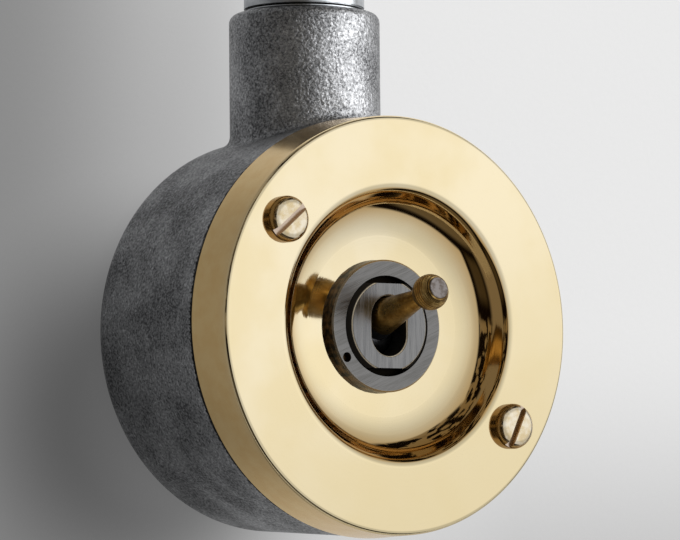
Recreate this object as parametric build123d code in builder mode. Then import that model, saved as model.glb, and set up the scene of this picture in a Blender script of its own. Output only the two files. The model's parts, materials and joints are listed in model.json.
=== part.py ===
from build123d import *
from math import cos, radians, sin, sqrt
import os

# A dolly switch in a round cast box on the end of a steel conduit. A dished brass cover
# is held by two screws, and the switch is clamped in its middle by a pin-spanner ring nut.
# Frame: origin at the centre of the box's back face, on the wall. -Y points out to the
# front, +Z up along the conduit, +X to the right of someone who faces the switch.
# Sizes are in millimetres and degrees. A "depth" is measured from the flat front face of
# the cover towards the wall.

# How far a cut runs on past the metal it goes through
cut_past = 1.0

# Cover
total_depth = 52.6
cover_radius = 42.5
cover_front_radius = 42.0
cover_wall = 2.0
cover_edge_round = 1.4
skirt_depth = 11.0
dish_lip_radius = 27.9
dish_lip_round = 1.6
dish_knee_radius = 22.6
dish_knee_depth = 5.75
dish_knee_blend = 4.0
dish_floor_radius = 14.6
dish_floor_depth = 6.5
dish_floor_blend = 7.0

# Cover screws, on one diameter of the cover
screw_circle = 34.1
screw_angle = 144.0
screw_slot_angles = {"cover_screw_upper": 40.0, "cover_screw_lower": 65.0}
screw_head_radius = 4.45
screw_head_height = 2.1
screw_head_round = 1.1
screw_slot_width = 1.4
screw_slot_depth = 1.2
screw_shank_radius = 2.45
screw_shank_length = 18.0
screw_clearance_radius = 2.75

# Cast box
box_gap = 0.5
box_rim_radius = 42.2
box_back_radius = 40.6
box_back_round = 7.0
box_floor = 3.5
spigot_radius = 40.2
cavity_front_radius = 37.6
cavity_back_radius = 36.8
pillar_radius = 4.9
tapped_depth = 20.0
fixing_spacing = 50.8
fixing_radius = 2.5
fixing_sink_radius = 4.7
earth_place = (-15.0, -23.0)
earth_boss_radius = 4.5
earth_boss_height = 6.0

# Hub of the box, with the conduit screwed into it
hub_depth = 32.6
hub_radius = 15.65
hub_top = 66.2
hub_root = 26.0
hub_rim_round = 2.0
hub_blend = 2.5
socket_depth = 18.2
socket_chamfer = 0.6
passage_radius = 11.2
conduit_radius = 12.5
conduit_bore = 10.9
conduit_top = 90.0
conduit_chamfer = 0.3
thread_depth = 0.4
thread_runout = 1.1

# Ring nut, lock washer and back nut on the switch's threaded bush
thread_clearance = 0.05
bush_radius = 9.95
bush_flat = 8.5
bush_face_depth = 3.65
bush_chamfer = 1.0
spigot_bush_radius = 8.2
ring_radius = 13.35
ring_face_depth = 4.55
ring_mouth_chamfer = 0.15
ring_rim_chamfer = 0.3
spanner_circle = 11.8
spanner_angle = 213.2
spanner_hole_radius = 1.0
spanner_hole_depth = 1.4
washer_radius = 13.0
washer_thickness = 0.8
washer_notches = 10
washer_notch_width = 1.4
washer_notch_depth = 1.2
nut_across_flats = 24.0
nut_height = 3.2

# Dolly, on a cross pin in the bush. Places along it are counted from the pin's centre
pivot_depth = 13.6
dolly_angle = 14.0
knob_place = 24.5
knob_radius = 3.6
knob_flat_radius = 2.0
neck_place = 20.6
neck_radius = 1.8
stem_place = 9.6
stem_radius = 3.25
ball_radius = 6.6
ball_socket_radius = 7.0
tail_radius = 3.3
tail_length = 10.0
slot_width = 8.6
slot_height = 12.2
slot_chamfer = 0.25
pin_radius = 1.2
pin_half_length = 9.2

# Sprung plunger in the dolly's tail
plunger_radius = 2.0
plunger_clearance = 0.05
plunger_centre = 10.8
plunger_back = 5.5
plunger_bore_radius = 1.45
plunger_bore_end = 9.5
spring_seat = 2.3
spring_radius = 1.15
spring_wire_radius = 0.225
spring_turns = 3

# Steel frame, moulded housing and moulded base of the switch
frame_depth = 15.6
frame_sheet = 1.2
frame_arm_half = 6.0
frame_tab = 3.5
frame_bend = 1.2
unit_half_width = 13.0
unit_half_height = 17.0
unit_corner = 2.0
housing_side = 2.6
housing_end = 2.0
housing_mouth_radius = 7.6
base_depth = 32.1
base_thickness = 3.0
groove_clearance = 0.1
register_height = 0.8
register_width = 1.2
register_clearance = 0.1
barrier_height = 5.0
barrier_width = 1.2

# Terminals, one above the other behind the base
terminal_spacing = 11.5
terminal_side = 7.0
terminal_length = 8.0
stem_side = 3.0
stem_end_depth = 30.8
wire_hole_radius = 1.6
wire_hole_place = 3.5
clamp_shank_radius = 1.45
clamp_shank_length = 3.5
clamp_head_radius = 2.6
clamp_head_height = 1.6
clamp_slot_width = 0.8
clamp_slot_depth = 0.8

# Rocker, its cradle and the contacts
rocker_depth = 28.9
rocker_angle = 11.2
rocker_sheet = 1.0
rocker_half_width = 3.0
trough_centre = 6.2
trough_radius = 4.05
trough_half = 3.0
arm_front = 2.2
arm_start = 6.2
arm_end = 10.2
rocker_ear_sheet = 0.9
rocker_ear_radius = 1.8
rocker_pin_radius = 1.0
rocker_pin_clearance = 0.05
rocker_pin_stand = 0.3
cradle_gap = 0.2
cradle_sheet = 1.0
cradle_ear_radius = 1.9
cradle_half_height = 3.0
moving_contact_place = 8.5
moving_contact_radius = 1.5
moving_contact_height = 0.9
fixed_contact_place = 8.4
fixed_contact_height = 0.85
fixed_contact_tip = 0.5
strip_half_width = 2.5
strip_inner = 6.4
strip_outer = 13.6
strip_sheet = 0.8

# Earth screw and its square clamp washer
earth_shank_radius = 1.95
earth_hole_radius = 2.0
earth_shank_length = 7.0
earth_head_radius = 3.8
earth_head_height = 2.4
earth_slot_width = 1.0
earth_slot_depth = 1.2
earth_washer_side = 9.0
earth_washer_sheet = 1.0


def row_y(depth):
    """Row Y of a depth behind the cover's front face."""
    return depth - total_depth


def facing(depth):
    """Plane parallel to the wall at that depth, looking out to the front."""
    return Plane(origin=(0, row_y(depth), 0), x_dir=(1, 0, 0), z_dir=(0, -1, 0))


def axis_through(plane):
    """The axis that leaves a profile plane's origin along its local X."""
    return Axis(plane.origin, plane.x_dir)


# Places and planes that follow from the driving dimensions
spigot_depth = cover_wall
rim_depth = skirt_depth + box_gap
hub_y = row_y(hub_depth)
hub_axis = Axis((0, hub_y, 0), (0, 0, 1))
hub_profile = Plane(origin=(0, hub_y, 0), x_dir=(1, 0, 0), z_dir=(0, -1, 0))
socket_radius = conduit_radius - thread_depth + thread_clearance
socket_floor = hub_top - socket_depth
screw_x = screw_circle * cos(radians(screw_angle))
screw_z = screw_circle * sin(radians(screw_angle))
screw_places = {
    "cover_screw_upper": (screw_x, screw_z),
    "cover_screw_lower": (-screw_x, -screw_z),
}
dish_back_depth = dish_floor_depth + cover_wall
nut_bore_radius = bush_radius + thread_clearance
plate_back_depth = frame_depth + frame_sheet
unit_back_depth = base_depth + base_thickness
groove_x = unit_half_width - frame_sheet
housing_inner_x = unit_half_width - housing_side
housing_inner_z = unit_half_height - housing_end
terminal_heights = {"upper": terminal_spacing, "common": 0.0, "lower": -terminal_spacing}

# Turned faces start at their profile, so the box's and cover's seams lie away from the hub
turning_profile = Plane(origin=(0, 0, 0), x_dir=(0, 1, 0), z_dir=(-1, 0, 0))
dolly_profile = Plane(
    origin=(0, row_y(pivot_depth), 0),
    x_dir=(0, -cos(radians(dolly_angle)), sin(radians(dolly_angle))),
    z_dir=(1, 0, 0),
)
rocker_profile = Plane(
    origin=(0, row_y(rocker_depth), 0),
    x_dir=(0, cos(radians(rocker_angle)), sin(radians(rocker_angle))),
    z_dir=(1, 0, 0),
)


def finish(part, name):
    """Labels a sub-part and writes its STEP file."""
    part.part.label = name
    export_step(part.part, f"parts/{name}.step")


os.makedirs("parts", exist_ok=True)

# Cast box: turned body with draft, hub for the conduit, cover pillars and earth boss
with BuildPart() as back_box:
    with BuildSketch(turning_profile):
        with BuildLine():
            FilletPolyline(
                (0, 0),
                (0, box_back_radius),
                (row_y(rim_depth), box_rim_radius),
                (row_y(rim_depth), spigot_radius),
                (row_y(spigot_depth), spigot_radius),
                (row_y(spigot_depth), 0),
                radius=[box_back_round, 0, 0, 0],
            )
            Line((row_y(spigot_depth), 0), (0, 0))
        make_face()
    revolve(axis=Axis.Y)

    with BuildSketch(Plane.XY.offset(hub_top)):
        with Locations((0, hub_y)):
            Circle(hub_radius)
    extrude(amount=hub_root - hub_top)
    fillet(back_box.edges(Select.LAST).filter_by(GeomType.BSPLINE), hub_blend)
    fillet(back_box.edges().sort_by(Axis.Z)[-1], hub_rim_round)

    with BuildSketch(turning_profile):
        with BuildLine():
            Polyline(
                (-box_floor, 0),
                (-box_floor, cavity_back_radius),
                (row_y(spigot_depth), cavity_front_radius),
                (row_y(spigot_depth), 0),
                close=True,
            )
        make_face()
    revolve(axis=Axis.Y, mode=Mode.SUBTRACT)

    with Locations((0, hub_y, hub_top)):
        CounterBoreHole(passage_radius, socket_radius, socket_depth, depth=hub_top - hub_root)
    mouth = back_box.edges().filter_by(GeomType.CIRCLE).group_by(Axis.Z)[-1]
    chamfer(mouth.sort_by(SortBy.RADIUS)[0], socket_chamfer)

    with BuildSketch(facing(spigot_depth)):
        with Locations(*screw_places.values()):
            Circle(pillar_radius)
    extrude(amount=-(total_depth - spigot_depth - box_floor / 2))
    with Locations(facing(spigot_depth)):
        with Locations(*screw_places.values()):
            Hole(screw_shank_radius + thread_clearance, depth=tapped_depth)

    with BuildSketch(facing(total_depth - box_floor)):
        with Locations(earth_place):
            Circle(earth_boss_radius)
    extrude(amount=earth_boss_height)
    with Locations(facing(total_depth - box_floor - earth_boss_height)):
        with Locations(earth_place):
            Hole(earth_hole_radius, depth=earth_shank_length + cut_past)

    with Locations(facing(total_depth - box_floor)):
        with GridLocations(fixing_spacing, 0, 2, 1):
            CounterSinkHole(fixing_radius, fixing_sink_radius, depth=box_floor)
finish(back_box, "back_box")

# Conduit end: screwed down to the hub's stop, with the thread's run-out just showing
with BuildPart() as conduit_stub:
    with BuildSketch(hub_profile):
        with BuildLine():
            Polyline(
                (conduit_bore, socket_floor),
                (conduit_radius - thread_depth, socket_floor),
                (conduit_radius - thread_depth, hub_top + thread_runout),
                (conduit_radius, hub_top + thread_runout),
                (conduit_radius, conduit_top),
                (conduit_bore, conduit_top),
                close=True,
            )
        make_face()
    revolve(axis=hub_axis)
    ends = conduit_stub.edges().filter_by(GeomType.CIRCLE).group_by(Axis.Z)
    chamfer(ends[0] + ends[-1], conduit_chamfer)
finish(conduit_stub, "conduit_stub")

# Brass cover: dish, lip, flat face and skirt, blended in front and plain at the back
with BuildPart() as front_cover:
    with BuildSketch(turning_profile):
        with BuildLine():
            FilletPolyline(
                (row_y(dish_floor_depth), 0),
                (row_y(dish_floor_depth), dish_floor_radius),
                (row_y(dish_knee_depth), dish_knee_radius),
                (row_y(0), dish_lip_radius),
                (row_y(0), cover_front_radius),
                (row_y(skirt_depth), cover_radius),
                radius=[dish_floor_blend, dish_knee_blend, dish_lip_round, cover_edge_round],
            )
            Polyline(
                (row_y(skirt_depth), cover_radius),
                (row_y(skirt_depth), cover_radius - cover_wall),
                (row_y(cover_wall), cover_radius - cover_wall),
                (row_y(cover_wall), dish_lip_radius - cover_wall / 2),
                (row_y(dish_knee_depth + cover_wall), dish_knee_radius - cover_wall / 2),
                (row_y(dish_back_depth), dish_floor_radius - cover_wall / 4),
                (row_y(dish_back_depth), 0),
                (row_y(dish_floor_depth), 0),
            )
        make_face()
    revolve(axis=Axis.Y)
    with BuildSketch(facing(0)):
        Circle(nut_bore_radius)
        Rectangle(2 * nut_bore_radius, 2 * (bush_flat + 2 * thread_clearance), mode=Mode.INTERSECT)
    extrude(amount=-(dish_back_depth + cut_past), mode=Mode.SUBTRACT)
    with Locations(facing(0)):
        with Locations(*screw_places.values()):
            Hole(screw_clearance_radius, depth=cover_wall + cut_past)
finish(front_cover, "front_cover")


def slotted_screw(plane, head, slot, shank, head_round=0.0):
    """A slotted screw whose head stands on the plane, with the slot along its local X.

    Head and shank are a radius and a length, the slot is a width and a depth.
    """
    head_radius, head_height = head
    slot_width, slot_depth = slot
    shank_radius, shank_length = shank
    with BuildPart() as screw:
        with BuildSketch(plane):
            Circle(head_radius)
        extrude(amount=head_height)
        if head_round:
            outward = Axis(plane.origin, plane.z_dir)
            fillet(screw.edges().filter_by(GeomType.CIRCLE).sort_by(outward)[-1], head_round)
        with BuildSketch(plane.offset(head_height)):
            Rectangle(2 * (head_radius + cut_past), slot_width)
        extrude(amount=-slot_depth, mode=Mode.SUBTRACT)
        with BuildSketch(plane):
            Circle(shank_radius)
        extrude(amount=-shank_length)
    return screw


# Two domed cover screws in the box's pillars
for name, (x, z) in screw_places.items():
    angle = radians(screw_slot_angles[name])
    head_plane = Plane(origin=(x, row_y(0), z), x_dir=(cos(angle), 0, sin(angle)), z_dir=(0, -1, 0))
    cover_screw = slotted_screw(
        head_plane,
        head=(screw_head_radius, screw_head_height),
        slot=(screw_slot_width, screw_slot_depth),
        shank=(screw_shank_radius, screw_shank_length),
        head_round=screw_head_round,
    )
    finish(cover_screw, name)

# Ring nut with two blind holes for a pin spanner
with BuildPart() as ring_nut:
    with BuildSketch(facing(dish_floor_depth)):
        Circle(ring_radius)
        Circle(nut_bore_radius, mode=Mode.SUBTRACT)
    extrude(amount=dish_floor_depth - ring_face_depth)
    mouth, rim = ring_nut.edges().group_by(Axis.Y)[0].sort_by(SortBy.RADIUS)
    chamfer(mouth, ring_mouth_chamfer)
    chamfer(rim, ring_rim_chamfer)
    with Locations(facing(ring_face_depth)):
        with PolarLocations(spanner_circle, 2, start_angle=spanner_angle):
            Hole(spanner_hole_radius, depth=spanner_hole_depth)
finish(ring_nut, "ring_nut")

# Lock washer with bite notches round its rim, behind the cover
with BuildPart() as lock_washer:
    with BuildSketch(facing(dish_back_depth)):
        Circle(washer_radius)
        Circle(nut_bore_radius, mode=Mode.SUBTRACT)
        with PolarLocations(washer_radius, washer_notches):
            Rectangle(2 * washer_notch_depth, washer_notch_width, mode=Mode.SUBTRACT)
    extrude(amount=-washer_thickness)
finish(lock_washer, "lock_washer")

# Hexagon back nut that sets how far the bush stands out of the cover
with BuildPart() as back_nut:
    with BuildSketch(facing(dish_back_depth + washer_thickness)):
        RegularPolygon(nut_across_flats / 2, 6, major_radius=False)
        Circle(nut_bore_radius, mode=Mode.SUBTRACT)
    extrude(amount=-nut_height)
finish(back_nut, "back_nut")

# Threaded bush: two flats, an upright slot, a round seat for the dolly's ball, pin grooves
with BuildPart() as switch_bush:
    with BuildSketch(facing(frame_depth)):
        Circle(bush_radius)
    extrude(amount=frame_depth - bush_face_depth)
    chamfer(switch_bush.faces().sort_by(Axis.Y)[0].edges(), bush_chamfer)
    with BuildSketch(facing(frame_depth)):
        Rectangle(2 * bush_radius, 2 * bush_flat)
    extrude(amount=frame_depth - bush_face_depth, mode=Mode.INTERSECT)
    with BuildSketch(facing(plate_back_depth)):
        Circle(spigot_bush_radius)
    extrude(amount=frame_sheet)
    with BuildSketch(Plane.YZ):
        with BuildLine():
            pivot = (row_y(pivot_depth), 0)
            seat = CenterArc(pivot, ball_socket_radius, 90, 90)
            Polyline(
                seat @ 0,
                (row_y(plate_back_depth), ball_socket_radius),
                (row_y(plate_back_depth), 0),
                seat @ 1,
            )
        make_face()
    revolve(axis=Axis.Y, mode=Mode.SUBTRACT)
    with BuildSketch(facing(bush_face_depth)):
        SlotOverall(slot_height, slot_width, rotation=90)
    extrude(amount=-(pivot_depth - bush_face_depth), mode=Mode.SUBTRACT)
    chamfer(switch_bush.faces().sort_by(Axis.Y)[0].inner_wires()[0].edges(), slot_chamfer)
    with BuildSketch(Plane.YZ):
        groove_radius = pin_radius + thread_clearance
        groove_length = plate_back_depth - pivot_depth
        with Locations((row_y(pivot_depth), 0)):
            Circle(groove_radius)
        with Locations((row_y(pivot_depth), 0)):
            Rectangle(groove_length, 2 * groove_radius, align=(Align.MIN, Align.CENTER))
    extrude(amount=bush_radius, both=True, mode=Mode.SUBTRACT)
finish(switch_bush, "switch_bush")

# Dolly turned in one piece: flattened knob, neck, tapered stem, ball and hollow tail
with BuildPart() as dolly:
    with BuildSketch(dolly_profile):
        with BuildLine():
            taper = (stem_radius - neck_radius) / (neck_place - stem_place)
            base_radius = neck_radius + taper * neck_place
            ball_front = (
                taper * base_radius
                + sqrt(ball_radius**2 * (1 + taper**2) - base_radius**2)
            ) / (1 + taper**2)
            knob_back = knob_place - sqrt(knob_radius**2 - neck_radius**2)
            knob_front = knob_place + sqrt(knob_radius**2 - knob_flat_radius**2)
            ball_back = -sqrt(ball_radius**2 - tail_radius**2)
            ball_arc = ThreePointArc(
                (ball_back, tail_radius),
                (0, ball_radius),
                (ball_front, base_radius - taper * ball_front),
            )
            Polyline(ball_arc @ 1, (neck_place, neck_radius), (knob_back, neck_radius))
            knob = ThreePointArc(
                (knob_back, neck_radius),
                (knob_place, knob_radius),
                (knob_front, knob_flat_radius),
            )
            Polyline(
                knob @ 1,
                (knob_front, 0),
                (-spring_seat, 0),
                (-spring_seat, plunger_radius + plunger_clearance),
                (-tail_length, plunger_radius + plunger_clearance),
                (-tail_length, tail_radius),
                ball_arc @ 0,
            )
        make_face()
    revolve(axis=axis_through(dolly_profile))
    with BuildSketch(Plane.YZ):
        with Locations((row_y(pivot_depth), 0)):
            Circle(pin_radius)
    extrude(amount=ball_radius, both=True, mode=Mode.SUBTRACT)
finish(dolly, "dolly")

# Cross pin, pressed through the ball, that turns in the bush's grooves
with BuildPart() as dolly_pin:
    with BuildSketch(Plane.YZ):
        with Locations((row_y(pivot_depth), 0)):
            Circle(pin_radius)
    extrude(amount=pin_half_length, both=True)
finish(dolly_pin, "dolly_pin")

# Round-nosed plunger, hollow for its spring, that slides in the dolly's tail
with BuildPart() as contact_plunger:
    with BuildSketch(dolly_profile):
        with BuildLine():
            nose = CenterArc((-plunger_centre, 0), plunger_radius, 90, 90)
            Polyline(
                nose @ 0,
                (-plunger_back, plunger_radius),
                (-plunger_back, plunger_bore_radius),
                (-plunger_bore_end, plunger_bore_radius),
                (-plunger_bore_end, 0),
                nose @ 1,
            )
        make_face()
    revolve(axis=axis_through(dolly_profile))
finish(contact_plunger, "contact_plunger")

# Compression spring between the dolly and the plunger
with BuildPart() as toggle_spring:
    spring_start = spring_seat + spring_wire_radius
    spring_length = plunger_bore_end - 2 * spring_wire_radius - spring_seat - thread_clearance
    with BuildLine():
        coil = Helix(
            spring_length / spring_turns,
            spring_length,
            spring_radius,
            center=dolly_profile.from_local_coords((-spring_start, 0, 0)),
            direction=-dolly_profile.x_dir,
        )
    with BuildSketch(Plane(origin=coil @ 0, z_dir=coil % 0)):
        RegularPolygon(spring_wire_radius, 4)
    sweep(path=coil, is_frenet=True)
finish(toggle_spring, "toggle_spring")

# Steel frame: a front plate with two arms whose ends are folded over the base
with BuildPart() as switch_frame:
    with BuildSketch(Plane.XY):
        with BuildLine():
            FilletPolyline(
                (groove_x - frame_tab + frame_sheet, row_y(unit_back_depth + frame_sheet)),
                (unit_half_width, row_y(unit_back_depth + frame_sheet)),
                (unit_half_width, row_y(frame_depth)),
                (-unit_half_width, row_y(frame_depth)),
                (-unit_half_width, row_y(unit_back_depth + frame_sheet)),
                (frame_tab - groove_x - frame_sheet, row_y(unit_back_depth + frame_sheet)),
                radius=frame_bend,
            )
            offset(amount=frame_sheet, side=Side.RIGHT, mode=Mode.ADD)
        make_face()
    extrude(amount=frame_arm_half, both=True)
    with BuildSketch(facing(plate_back_depth)):
        RectangleRounded(2 * (unit_half_width - frame_bend), 2 * unit_half_height, unit_corner)
    extrude(amount=frame_sheet)
    with Locations(facing(frame_depth)):
        Hole(spigot_bush_radius + thread_clearance, depth=frame_sheet)
finish(switch_frame, "switch_frame")

# Moulded housing: a box open to the back, grooved at the sides for the frame's arms
with BuildPart() as switch_housing:
    with BuildSketch(facing(base_depth)):
        RectangleRounded(2 * unit_half_width, 2 * unit_half_height, unit_corner)
        groove = 2 * (frame_arm_half + groove_clearance)
        with Locations((unit_half_width, 0), (-unit_half_width, 0)):
            Rectangle(2 * frame_sheet, groove, mode=Mode.SUBTRACT)
    extrude(amount=base_depth - plate_back_depth)
    with BuildSketch(facing(base_depth)):
        RectangleRounded(2 * housing_inner_x, 2 * housing_inner_z, unit_corner / 2)
    extrude(amount=base_depth - plate_back_depth - housing_end, mode=Mode.SUBTRACT)
    with Locations(facing(plate_back_depth)):
        Hole(housing_mouth_radius, depth=housing_end)
finish(switch_housing, "switch_housing")

# Moulded base with a register for the housing and barriers between the terminals
with BuildPart() as terminal_base:
    with BuildSketch(facing(unit_back_depth)):
        RectangleRounded(2 * unit_half_width, 2 * unit_half_height, unit_corner)
        with Locations((unit_half_width, 0), (-unit_half_width, 0)):
            Rectangle(2 * frame_sheet, groove, mode=Mode.SUBTRACT)
    extrude(amount=base_thickness)
    register_x = 2 * (housing_inner_x - register_clearance)
    register_z = 2 * (housing_inner_z - register_clearance)
    with BuildSketch(facing(base_depth)):
        RectangleRounded(register_x, register_z, unit_corner / 2 - register_clearance)
        Rectangle(register_x - 2 * register_width, register_z - 2 * register_width, mode=Mode.SUBTRACT)
    extrude(amount=register_height)
    with BuildSketch(facing(unit_back_depth)):
        with GridLocations(0, terminal_spacing, 1, 2):
            Rectangle(2 * (groove_x - frame_tab), barrier_width)
    extrude(amount=-barrier_height)
    with BuildSketch(facing(unit_back_depth)):
        with GridLocations(0, terminal_spacing, 1, 3):
            Rectangle(stem_side, stem_side)
    extrude(amount=base_thickness, mode=Mode.SUBTRACT)
finish(terminal_base, "terminal_base")

# Three terminals: a drilled brass block with a stem through the base, and its clamp screw
for place, height in terminal_heights.items():
    with BuildPart() as terminal:
        with BuildSketch(facing(unit_back_depth)):
            with Locations((0, height)):
                Rectangle(terminal_side, terminal_side)
        extrude(amount=-terminal_length)
        with BuildSketch(facing(unit_back_depth)):
            with Locations((0, height)):
                Rectangle(stem_side, stem_side)
        extrude(amount=unit_back_depth - stem_end_depth)
        with BuildSketch(Plane.YZ):
            with Locations((row_y(unit_back_depth + wire_hole_place), height)):
                Circle(wire_hole_radius)
        extrude(amount=terminal_side, both=True, mode=Mode.SUBTRACT)
        with BuildSketch(facing(unit_back_depth + terminal_length)):
            with Locations((0, height)):
                Circle(clamp_shank_radius + thread_clearance)
        extrude(amount=terminal_length - wire_hole_place, mode=Mode.SUBTRACT)
    finish(terminal, f"terminal_{place}")

    clamp_plane = Plane(
        origin=(0, row_y(unit_back_depth + terminal_length), height),
        x_dir=(1, 0, 0),
        z_dir=(0, 1, 0),
    )
    clamp_screw = slotted_screw(
        clamp_plane,
        head=(clamp_head_radius, clamp_head_height),
        slot=(clamp_slot_width, clamp_slot_depth),
        shank=(clamp_shank_radius, clamp_shank_length),
    )
    finish(clamp_screw, f"terminal_screw_{place}")

# Fixed contacts: a strip on each outer stem, with a coned contact facing the rocker
for place, side in {"upper": 1, "lower": -1}.items():
    with BuildPart() as fixed_contact:
        with BuildSketch(facing(base_depth)):
            with Locations((0, side * (strip_inner + strip_outer) / 2)):
                Rectangle(2 * strip_half_width, strip_outer - strip_inner)
            with Locations((0, side * terminal_spacing)):
                Rectangle(stem_side, stem_side, mode=Mode.SUBTRACT)
        extrude(amount=strip_sheet)
        with Locations(facing(base_depth - strip_sheet)):
            with Locations((0, side * fixed_contact_place)):
                Cone(
                    moving_contact_radius,
                    fixed_contact_tip,
                    fixed_contact_height,
                    align=(Align.CENTER, Align.CENTER, Align.MIN),
                )
    finish(fixed_contact, f"fixed_contact_{place}")

# Cradle on the middle stem: a folded strip whose two ears hold the rocker's pin
with BuildPart() as rocker_cradle:
    cradle_outer = rocker_half_width + cradle_gap + cradle_sheet
    with BuildSketch(facing(base_depth)):
        Rectangle(2 * cradle_outer, 2 * cradle_half_height)
        Rectangle(stem_side, stem_side, mode=Mode.SUBTRACT)
    extrude(amount=cradle_sheet)
    for ear_x in (cradle_outer - cradle_sheet, -cradle_outer):
        with BuildSketch(Plane.YZ.offset(ear_x)):
            with Locations((row_y(rocker_depth), 0)):
                Circle(cradle_ear_radius)
                Rectangle(
                    base_depth - rocker_depth,
                    2 * cradle_ear_radius,
                    align=(Align.MIN, Align.CENTER),
                )
                Circle(rocker_pin_radius, mode=Mode.SUBTRACT)
        extrude(amount=cradle_sheet)
finish(rocker_cradle, "rocker_cradle")

with BuildPart() as rocker_pin:
    with BuildSketch(Plane.YZ):
        with Locations((row_y(rocker_depth), 0)):
            Circle(rocker_pin_radius)
    extrude(amount=cradle_outer + rocker_pin_stand, both=True)
finish(rocker_pin, "rocker_pin")

# Rocker: a formed strip with a trough for the plunger's nose, two arms and two pin ears
with BuildPart() as contact_rocker:
    crest = sqrt(trough_radius**2 - trough_half**2) - trough_centre
    with BuildSketch(rocker_profile):
        with BuildLine():
            Polyline((-arm_front, -arm_end), (-arm_front, -arm_start), (crest, -trough_half))
            ThreePointArc(
                (crest, -trough_half),
                (trough_radius - trough_centre, 0),
                (crest, trough_half),
            )
            Polyline((crest, trough_half), (-arm_front, arm_start), (-arm_front, arm_end))
            offset(amount=rocker_sheet, side=Side.RIGHT, mode=Mode.ADD)
        make_face()
    extrude(amount=rocker_half_width, both=True)
    for ear_x in (rocker_half_width - rocker_ear_sheet, -rocker_half_width):
        with BuildSketch(rocker_profile.offset(ear_x)):
            Circle(rocker_ear_radius)
            Rectangle(
                rocker_ear_radius,
                2 * rocker_ear_radius,
                align=(Align.MAX, Align.CENTER),
            )
            Circle(rocker_pin_radius + rocker_pin_clearance, mode=Mode.SUBTRACT)
        extrude(amount=rocker_ear_sheet)
finish(contact_rocker, "contact_rocker")

# Moving contacts: silver buttons on the backs of the rocker's arms
for place, side in {"upper": 1, "lower": -1}.items():
    arm_back = Plane(
        origin=rocker_profile.from_local_coords(
            (rocker_sheet - arm_front, side * moving_contact_place, 0)
        ),
        x_dir=(1, 0, 0),
        z_dir=rocker_profile.x_dir,
    )
    with BuildPart() as moving_contact:
        with BuildSketch(arm_back):
            Circle(moving_contact_radius)
        extrude(amount=moving_contact_height)
    finish(moving_contact, f"moving_contact_{place}")

# Earth screw and square washer on the boss in the box
earth_plane = Plane(
    origin=(earth_place[0], -(box_floor + earth_boss_height), earth_place[1]),
    x_dir=(1, 0, 0),
    z_dir=(0, -1, 0),
)
with BuildPart() as earth_washer:
    with BuildSketch(earth_plane):
        Rectangle(earth_washer_side, earth_washer_side)
        Circle(earth_hole_radius + thread_clearance, mode=Mode.SUBTRACT)
    extrude(amount=earth_washer_sheet)
finish(earth_washer, "earth_washer")

earth_screw = slotted_screw(
    earth_plane.offset(earth_washer_sheet),
    head=(earth_head_radius, earth_head_height),
    slot=(earth_slot_width, earth_slot_depth),
    shank=(earth_shank_radius, earth_shank_length),
)
finish(earth_screw, "earth_screw")
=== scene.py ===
"""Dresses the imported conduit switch: finishes for its metal pieces, the turned brass cover,
the cover screws, the turned dolly, the thread on the conduit, and a plain wall, light and
camera."""

import json
import math

import bmesh
import bpy
from bpy.props import FloatProperty, FloatVectorProperty, IntProperty, PointerProperty
from bpy.types import Operator, Panel, PropertyGroup
from mathutils import Matrix, Vector


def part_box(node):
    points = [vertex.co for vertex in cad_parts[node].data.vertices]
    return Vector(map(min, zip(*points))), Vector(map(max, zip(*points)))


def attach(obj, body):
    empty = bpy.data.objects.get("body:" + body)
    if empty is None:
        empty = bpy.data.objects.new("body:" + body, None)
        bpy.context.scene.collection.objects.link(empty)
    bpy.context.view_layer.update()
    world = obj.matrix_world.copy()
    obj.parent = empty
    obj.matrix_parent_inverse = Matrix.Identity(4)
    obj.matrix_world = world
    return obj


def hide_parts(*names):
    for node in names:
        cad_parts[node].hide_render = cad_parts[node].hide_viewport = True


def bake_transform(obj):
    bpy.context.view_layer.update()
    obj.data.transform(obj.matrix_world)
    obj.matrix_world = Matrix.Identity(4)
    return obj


bl_info = {
    "name": "Conduit switch",
    "version": (1, 0, 0),
    "blender": (4, 5, 0),
    "location": "View3D > Sidebar > Switch",
    "description": "Dresses a round conduit switch with a brass cover around its packed frame",
    "category": "Object",
}

MM = 0.001

# Metres. Points closer than this are one point
MERGE = 1e-7

# Faces that meet at more than this are shaded with a sharp edge
SHARP_EDGE = math.radians(35)
DOLLY_SHARP_EDGE = math.radians(30)

# Faces round the cut holes and the screws, and steps along the dolly's curves
BUSH_HOLE_SIDES = 120
SCREW_HOLE_SIDES = 32
SCREW_SIDES = 96
BALL_STEPS = 24
KNOB_STEPS = 90

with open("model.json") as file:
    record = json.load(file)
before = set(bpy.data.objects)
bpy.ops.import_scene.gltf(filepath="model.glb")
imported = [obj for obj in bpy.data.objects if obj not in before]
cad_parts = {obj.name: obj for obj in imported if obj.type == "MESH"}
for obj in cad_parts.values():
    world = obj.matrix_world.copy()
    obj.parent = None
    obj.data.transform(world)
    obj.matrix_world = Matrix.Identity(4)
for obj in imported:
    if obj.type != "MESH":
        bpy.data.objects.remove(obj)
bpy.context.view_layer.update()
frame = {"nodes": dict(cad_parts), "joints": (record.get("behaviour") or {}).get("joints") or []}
COVER_LOW, COVER_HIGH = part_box("front_cover")
FACE_Y = COVER_LOW.y
COVER_DEPTH = COVER_HIGH.y - COVER_LOW.y
COVER_RADIUS = COVER_HIGH.x
NUT_LOW, NUT_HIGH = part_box("ring_nut")
BUSH_LOW, BUSH_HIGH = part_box("switch_bush")
PIPE_LOW, PIPE_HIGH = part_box("conduit_stub")
HUB_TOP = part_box("back_box")[1].z
COVER_SCREWS = ("cover_screw_upper", "cover_screw_lower")
TOGGLE = next(joint for joint in frame["joints"] if joint["name"] == "dolly_toggle")
PIVOT = Vector(TOGGLE["pos_m"])
DOLLY_TILT = math.radians(TOGGLE["range_deg"][1] / 2)
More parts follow.
